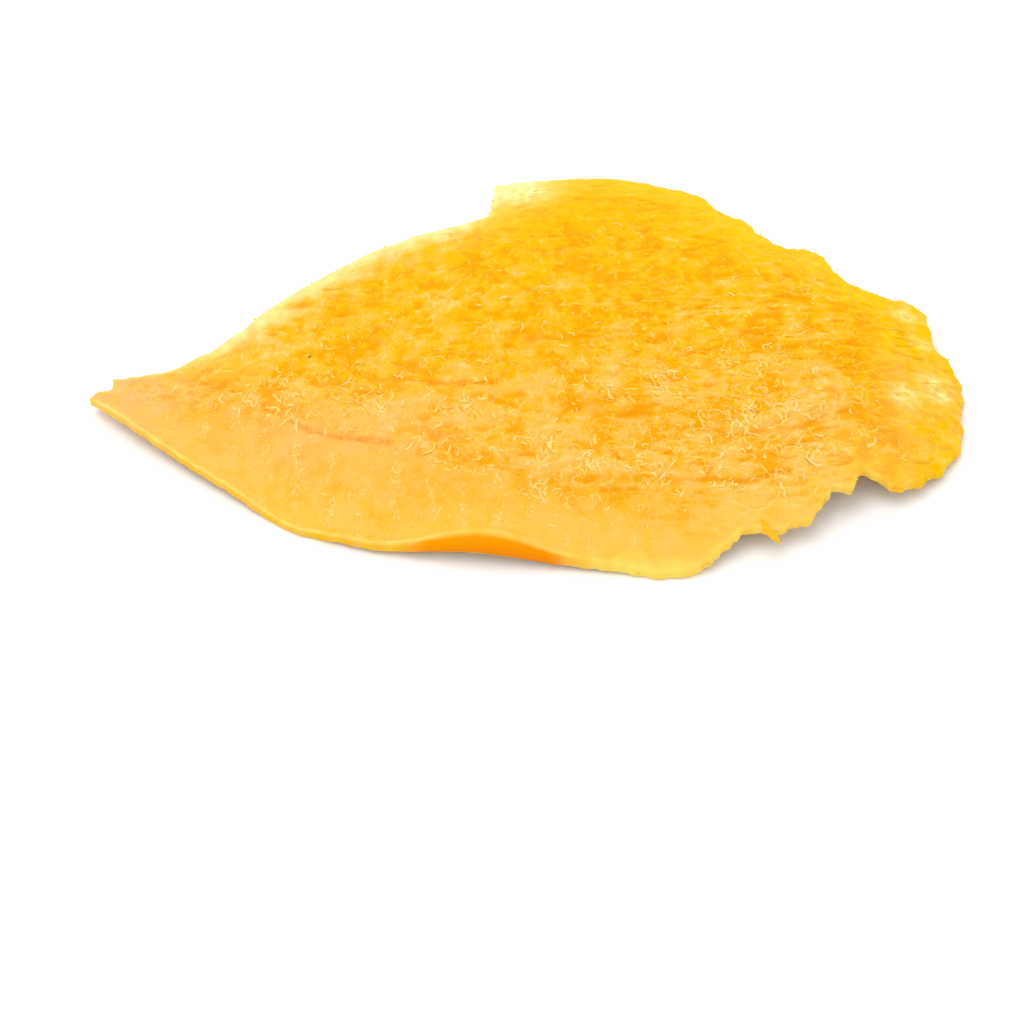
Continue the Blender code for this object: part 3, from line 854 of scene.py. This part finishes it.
def lay_tubes(line, normal, girth, flatness, sides):
    """Points, triangles and shading normals of closed tubes along lines, one tube to a line.

    A ring of points stands round each step of a line. It is girth wide to each side and flatness
    times that along the normal. The first and last steps are single points. Nothing goes below the tray.
    The shading normals lean towards the normal, as light that soaks through a thin fibre evens it out.
    """
    count, steps = line.shape[:2]
    normal = np.broadcast_to(normal, line.shape)
    forwards = unit(np.gradient(line, axis=1))
    sideways = unit(np.cross(normal, forwards))
    outwards = np.cross(forwards, sideways)
    angle = np.arange(sides) * 2 * np.pi / sides + np.pi / 2
    ring = np.cos(angle)[:, None] * sideways[:, 1:-1, None]
    ring = ring + flatness * np.sin(angle)[:, None] * outwards[:, 1:-1, None]
    facing = unit(ring + SOFTNESS * normal[:, 1:-1, None])
    facing = np.concatenate([facing.reshape(count, -1, 3), normal[:, :1], normal[:, -1:]], axis=1)
    ring = line[:, 1:-1, None] + ring * girth[:, 1:-1, None, None]
    points = np.concatenate([ring.reshape(count, -1, 3), line[:, :1], line[:, -1:]], axis=1)
    points[..., 2] = np.maximum(points[..., 2], 0.0)
    numbers = np.arange((steps - 2) * sides).reshape(steps - 2, sides)
    next_numbers = np.roll(numbers, -1, axis=1)
    walls = np.stack([numbers[:-1], next_numbers[:-1], next_numbers[1:],
                      numbers[:-1], next_numbers[1:], numbers[1:]], axis=-1).reshape(-1, 3)
    start = np.column_stack([np.full(sides, numbers.size), next_numbers[0], numbers[0]])
    end = np.column_stack([np.full(sides, numbers.size + 1), numbers[-1], next_numbers[-1]])
    one = np.vstack([walls, start, end])
    triangles = one[None] + (np.arange(count) * points.shape[1])[:, None, None]
    return points, triangles.reshape(-1, 3), facing


def tapered(radius, steps):
    """The girth of fibres at each step: full in the middle and drawn in to a point at both ends."""
    share = np.linspace(0.0, 1.0, steps)
    return np.outer(radius, np.clip(1 - (2 * share - 1) ** 2, 0.0, 1.0) ** 0.4)


def lay_fibres(face, i, j, heading, curl, length, radius, flatness, rise, sides, steps):
    """Points, triangles and shading normals of fibres laid on a face.

    A fibre's heading turns by its curl from end to end. The running sum of short steps along the
    heading gives its line on the plan, which the face's grid carries onto the face. The line then
    rises off the face along its normal, most at one end.
    """
    step_i = read_grid(np.gradient(face, axis=0), i, j)
    step_j = read_grid(np.gradient(face, axis=1), i, j)
    share = np.linspace(0.0, 1.0, steps)
    wave = 0.5 * np.sin(2 * np.pi * (share[None, :] + heading[:, None]))
    turn = heading[:, None] + curl[:, None] * (share[None, :] - 0.5) + wave
    stride = (length / (steps - 1))[:, None]
    run_x = np.cumsum(np.cos(turn) * stride, axis=1)
    run_y = np.cumsum(np.sin(turn) * stride, axis=1)
    run_x -= run_x.mean(axis=1, keepdims=True)
    run_y -= run_y.mean(axis=1, keepdims=True)
    spin = (step_i[:, 0] * step_j[:, 1] - step_i[:, 1] * step_j[:, 0])[:, None]
    line_i = i[:, None] + (run_x * step_j[:, 1, None] - run_y * step_j[:, 0, None]) / spin
    line_j = j[:, None] + (run_y * step_i[:, 0, None] - run_x * step_i[:, 1, None]) / spin
    line_i = np.clip(line_i, 1.0, face.shape[0] - 2.0)
    line_j = np.clip(line_j, 1.0, face.shape[1] - 2.0)
    normal = unit(read_grid(face_normals(face), line_i, line_j))
    lift = radius[:, None] * flatness * 0.2 + rise[:, None] * share[None, :] ** 2
    line = read_grid(face, line_i, line_j) + normal * lift[..., None]
    return lay_tubes(line, normal, tapered(radius, steps), flatness, sides)


def make_fibres(name, seed, face, weight, tone, count, length, radius,
                flatness=0.4, curl=1.1, rise=0.0, sides=4, steps=6, grain_turn=None):
    """A piece of many fibres, of lengths, radii, curls and rises drawn round the ones given.

    The fibres lie in all directions, or near the grain's where its turn is given.
    """
    rng = np.random.default_rng(seed)
    i, j = scatter(rng, face, weight, count)
    if grain_turn is None:
        heading = rng.uniform(0.0, 2 * np.pi, count)
    else:
        heading = read_grid(grain_turn, i, j) + rng.normal(0.0, GRAIN_STRAY, count)
    lengths = length * rng.gamma(5.0, 1 / 5.0, count)
    radii = radius * rng.gamma(12.0, 1 / 12.0, count)
    curls = rng.normal(0.0, curl, count)
    rises = rise * rng.gamma(1.5, 1 / 1.5, count)
    points, triangles, facing = lay_fibres(
        face, i, j, heading, curls, lengths, radii, flatness, rises, sides, steps)
    tones = read_grid(np.broadcast_to(tone, weight.shape), i, j)
    tones = np.clip(tones + rng.normal(0.0, TONE_STRAY, count), 0.0, 1.0)
    shares = {"tone": np.repeat(tones, points.shape[1])}
    return make_piece(name, points, triangles, fibre_material, shares, facing)


# Where the fibres lie thickest, as place and reach
PALE_TANGLES = (
    (13.5, -2.3, 1.4), (17.2, -9.9, 2.2), (28.0, -14.3, 2.2), (32.6, -13.4, 1.8), (21.5, 1.4, 1.4),
    (44.3, 3.5, 2.2), (-36.2, -7.2, 1.8), (-32.2, -7.4, 1.6), (9.5, -9.8, 1.6), (25.2, -4.0, 2.0),
    (30.4, -5.6, 2.0), (35.0, -16.9, 1.6), (2.3, -18.5, 1.4), (0.4, -25.4, 2.0), (8.0, -20.7, 1.6),
    (45.5, -15.4, 1.6), (44.6, -8.8, 2.0), (-23.0, -8.7, 1.8), (-20.3, -12.1, 1.6), (-8.0, -12.0, 1.6),
)
top_band = band_share(top_x, top_y)
top_pallor_and_sheen = pallor_and_sheen_at(top_x, top_y)
off_rim = smooth_step((top_from_rim - 0.6) / 4.0) * smooth_step((top_x + 55.0) / 10.0)
tangle = np.maximum(bumps(top_x / 3.4, top_y / 2.8, 41) - 0.3, 0.0) * 1.6
for tangle_x, tangle_y, reach in PALE_TANGLES:
    tangle = tangle + 1.2 * bell(top_x, top_y, (tangle_x, tangle_y), reach)

# The fibres take the paler tone of the front and the rim, so they carry the painted sheen and the painted
# rim glow too.
fibre_pallor_sheen_and_glow = top_pallor_and_sheen + 1.2 * top_shares["rim"]
off_spots = 1 - 0.9 * orange_share(top_x, top_y)
off_band = (1 - 0.96 * top_band) * off_rim * off_spots
front_felt = 1.2 * smooth_step((2.0 - top_y) / 10.0) * (1 - 0.8 * top_band)
curled_weight = off_band * (0.1 + tangle) * np.clip(0.2 + top_pallor_and_sheen, 0.05, 1.0)
fine_weight = (0.05 + off_rim) * off_spots * (1 - 0.7 * top_band) * (0.1 + tangle + front_felt)
from_low = (top_x - GRAIN_LOW_X) / GRAIN_BEND
grain_slope = GRAIN_DIP / GRAIN_BEND * from_low / np.sqrt(1 + from_low**2)
make_fibres("curled_fibres", 51, leaf_top, curled_weight, 0.35 + 0.5 * fibre_pallor_sheen_and_glow,
            count=540, length=1.25, radius=0.10, flatness=0.45, rise=0.04, sides=5, steps=8)
make_fibres("felted_fibres", 52, leaf_top, off_band * (0.4 + tangle), 0.08 + 0.45 * fibre_pallor_sheen_and_glow,
            count=1500, length=1.0, radius=0.10)
make_fibres("fine_felt", 53, leaf_top, fine_weight, 0.3 + 0.35 * fibre_pallor_sheen_and_glow,
            count=4200, length=0.85, radius=0.045, flatness=0.5, rise=0.02, sides=3)
make_fibres("grain_threads", 56, leaf_top, off_band * layered_share(top_x, top_y),
            0.1 + 0.35 * fibre_pallor_sheen_and_glow, count=240, length=2.6, radius=0.07, flatness=0.5, curl=0.4,
            steps=12, grain_turn=np.arctan(grain_slope))

# The tufts of the smooth band along the front rim: short pale fibre ends in columns square to the rim,
# where the bundles that run through the fruit were cut across.
TUFT_COLUMNS = (-46.4, -42.0, -37.6, -33.6, -29.8, -25.2, -21.4, -16.8, -12.3, -7.9, -3.4, 0.4, 4.6)
COLUMN_REACH = 0.45
wander = top_x + 0.8 * bumps(top_x / 9.0, top_y / 3.0, 42)
columns = np.zeros_like(top_x)
for column in TUFT_COLUMNS:
    columns = columns + np.exp(-(((wander - column) / COLUMN_REACH) ** 2))
columns = columns * smooth_step(bumps(top_x / 2.6, top_y / 2.2, 43) / 0.5 + 0.15)
make_fibres("band_tufts", 54, leaf_top, (columns + 0.02) * top_band, 0.7,
            count=1300, length=0.34, radius=0.05, curl=1.0, steps=5)

# The fibres of the underside: fewer and finer, and none where the slice lay flat on the tray.
# The underside's grid is turned round from front to back, so that it faces down.
make_fibres("underside_fibres", 55, leaf_under[:, ::-1],
            smooth_step((under_height[:, ::-1] - 0.3) / 0.5), 0.3,
            count=1500, length=1.1, radius=0.07, curl=1.0, sides=3)

# The fringe: short fibre ends that stick out of the torn rim, most round the broad end.
# They are the same dry fibres as the felt's, rooted inside the rim and turned at random round its
# outward heading.
FRINGE_COUNT = 150
FRINGE_STEPS = 6
FRINGE_LENGTH = 0.4
FRINGE_GIRTH = 0.08
ROOTED_SHARE = 0.4
UPWARDS = (0.0, 0.0, 1.0)
fringe_rng = np.random.default_rng(57)
rim_run = np.roll(torn_rim, -1, axis=0) - np.roll(torn_rim, 1, axis=0)
rim_heading = np.arctan2(-rim_run[:, 0], rim_run[:, 1])
fringe_chance = 0.15 + smooth_step((torn_rim[:, 0] - 10.0) / 20.0) + 0.4 * (torn_rim[:, 1] > 0)
fringe_chance = fringe_chance * (1 - rim_blunt) * np.linalg.norm(rim_run, axis=1)
root_at = fringe_rng.choice(len(torn_rim), FRINGE_COUNT, p=fringe_chance / fringe_chance.sum())
fringe_length = FRINGE_LENGTH * fringe_rng.gamma(4.0, 1 / 4.0, FRINGE_COUNT)
fringe_share = np.linspace(-ROOTED_SHARE, 1 - ROOTED_SHARE, FRINGE_STEPS)[None, :]
fringe_turn = rim_heading[root_at] + fringe_rng.normal(0.0, 1.1, FRINGE_COUNT)
fringe_turn = fringe_turn[:, None] + fringe_rng.normal(0.0, 1.2, FRINGE_COUNT)[:, None] * fringe_share
fringe_rise = fringe_rng.normal(0.05, 0.15, FRINGE_COUNT)[:, None]
fringe_line = np.dstack([
    np.cos(fringe_turn) * fringe_share * fringe_length[:, None],
    np.sin(fringe_turn) * fringe_share * fringe_length[:, None],
    fringe_rise * (fringe_share + ROOTED_SHARE) + 0.25 * (rim_faces[1] - rim_faces[0])[root_at, None],
]) + rim_middle[root_at, None]
fringe_girth = tapered(FRINGE_GIRTH * fringe_rng.gamma(8.0, 1 / 8.0, FRINGE_COUNT), FRINGE_STEPS)
fringe_points, fringe_triangles, fringe_facing = lay_tubes(
    fringe_line, UPWARDS, fringe_girth, flatness=0.6, sides=4)
fringe_tone = np.clip(0.35 + fringe_rng.normal(0.0, 0.25, FRINGE_COUNT), 0.0, 1.0)
make_piece("fringe", fringe_points, fringe_triangles, fibre_material,
           {"tone": np.repeat(fringe_tone, fringe_points.shape[1])}, fringe_facing)

# The barb: one splinter of saturated flesh that lies on the face and points out over the front rim.
# It is part of the slice, torn half loose, and narrows to a point past the rim.
BARB_LINE = ((29.0, -25.4), (29.5, -26.9), (30.2, -28.4), (31.0, -29.6), (31.9, -30.7))
BARB_STEPS = 18
BARB_GIRTH = 0.52
BARB_SINK = 0.2
BARB_LIFT = 0.3
BARB_DROOP = 0.35
BARB_EVENED = 5
BARB_ORANGE = paint(241, 178, 16)


def nearest_on_top(plan):
    """The number of the top grid's point that lies nearest to each plan point."""
    away = (top_x.ravel() - plan[:, :1]) ** 2 + (top_y.ravel() - plan[:, 1:]) ** 2
    return away.argmin(axis=1)


barb_share = np.linspace(0.0, 1.0, BARB_STEPS)
barb_plan = read_sweep(sweep(BARB_LINE), barb_share)
barb_height = leaf_top.reshape(-1, 3)[nearest_on_top(barb_plan), 2]
barb_height = np.convolve(
    np.pad(barb_height, BARB_EVENED // 2, mode="edge"), np.full(BARB_EVENED, 1 / BARB_EVENED), "valid")
barb_height = barb_height - BARB_SINK + BARB_LIFT * barb_share - BARB_DROOP * barb_share**3
barb_line = np.column_stack([barb_plan, barb_height])[None]
barb_girth = BARB_GIRTH * (np.sin(np.pi * barb_share**2.1) ** 0.8)[None]
barb_material, barb_shader, _ = new_material("mango_barb")
feed(barb_shader, {
    "Base Color": BARB_ORANGE,
    "Roughness": 0.5,
    "Specular IOR Level": 0.12,
    "Subsurface Weight": 0.3,
    "Subsurface Radius": FLESH_GLOW,
    "Subsurface Scale": 0.0004,
})
barb_points, barb_triangles, _ = lay_tubes(barb_line, UPWARDS, barb_girth, flatness=0.6, sides=12)
make_piece("barb", barb_points, barb_triangles, barb_material, {})

# The two specks: a short dark thread on the left of the face and a dot near its middle.
# They are stumps of fibre that browned as the slice dried, and they lie on the face like the others.
SPECK_BROWN = paint(120, 104, 40)
SPECKS = np.array([(-28.5, -2.7), (17.9, -7.7)])
SPECK_HEADINGS = np.array([1.2, 0.3])
SPECK_CURLS = np.array([1.2, 1.2])
SPECK_LENGTHS = np.array([0.8, 0.25])
SPECK_GIRTHS = np.array([0.13, 0.11])
SPECK_RISES = np.array([0.05, 0.05])
speck_material, speck_shader, _ = new_material("browned_fibre")
feed(speck_shader, {"Base Color": SPECK_BROWN, "Roughness": 0.6})
speck_i, speck_j = np.unravel_index(nearest_on_top(SPECKS), top_x.shape)
speck_points, speck_triangles, _ = lay_fibres(
    leaf_top, speck_i, speck_j, SPECK_HEADINGS, SPECK_CURLS, SPECK_LENGTHS, SPECK_GIRTHS,
    flatness=0.6, rise=SPECK_RISES, sides=5, steps=7)
make_piece("specks", speck_points, speck_triangles, speck_material, {})

# The studio: a white sweep lit by a white room and one large soft lamp above and behind.
# The lens is long and looks down on the slice's face.
CAMERA_AIM = (-2.1, -24.5, -0.05)
CAMERA_DISTANCE = 365.0
CAMERA_RISE = 50.5
LENS = 100.0
FLOOR_SIZE = 6.0
FLOOR_WHITE = (0.93, 0.93, 0.93, 1.0)
LAMP_PLACE = (-0.2, 0.12, 0.8)
LAMP_SIZE = 0.55
LAMP_POWER = 2.1
ROOM_LIGHT = 1.03

half_floor = FLOOR_SIZE / 2
floor_mesh = bpy.data.meshes.new("floor")
floor_mesh.from_pydata(
    [(-half_floor, -half_floor, 0.0), (half_floor, -half_floor, 0.0),
     (half_floor, half_floor, 0.0), (-half_floor, half_floor, 0.0)], [], [(0, 1, 2, 3)])
floor_material, floor_shader, _ = new_material("white_sweep")
feed(floor_shader, {"Base Color": FLOOR_WHITE, "Roughness": 0.9, "Specular IOR Level": 0.1})
floor_mesh.materials.append(floor_material)
floor = bpy.data.objects.new("floor", floor_mesh)
bpy.context.scene.collection.objects.link(floor)

room = bpy.data.worlds.new("room")
room.use_nodes = True
feed(room.node_tree.nodes["Background"], {"Color": (1.0, 1.0, 1.0, 1.0), "Strength": ROOM_LIGHT})
bpy.context.scene.world = room

lamp_data = bpy.data.lights.new("soft_lamp", "AREA")
lamp_data.energy = LAMP_POWER
lamp_data.size = LAMP_SIZE
lamp = bpy.data.objects.new("soft_lamp", lamp_data)
lamp.location = LAMP_PLACE
lamp.rotation_euler = (-Vector(LAMP_PLACE)).to_track_quat("-Z", "Y").to_euler()
bpy.context.scene.collection.objects.link(lamp)

camera_data = bpy.data.cameras.new("camera")
camera_data.lens = LENS
camera_data.sensor_width = 36.0
camera = bpy.data.objects.new("camera", camera_data)
rise = np.radians(CAMERA_RISE)
aim = Vector(CAMERA_AIM) * MM
back = Vector((0.0, -np.cos(rise), np.sin(rise)))
camera.location = aim + back * CAMERA_DISTANCE * MM
camera.rotation_euler = (-back).to_track_quat("-Z", "Y").to_euler()
bpy.context.scene.collection.objects.link(camera)
bpy.context.scene.camera = camera
bpy.context.scene.view_settings.view_transform = "Standard"
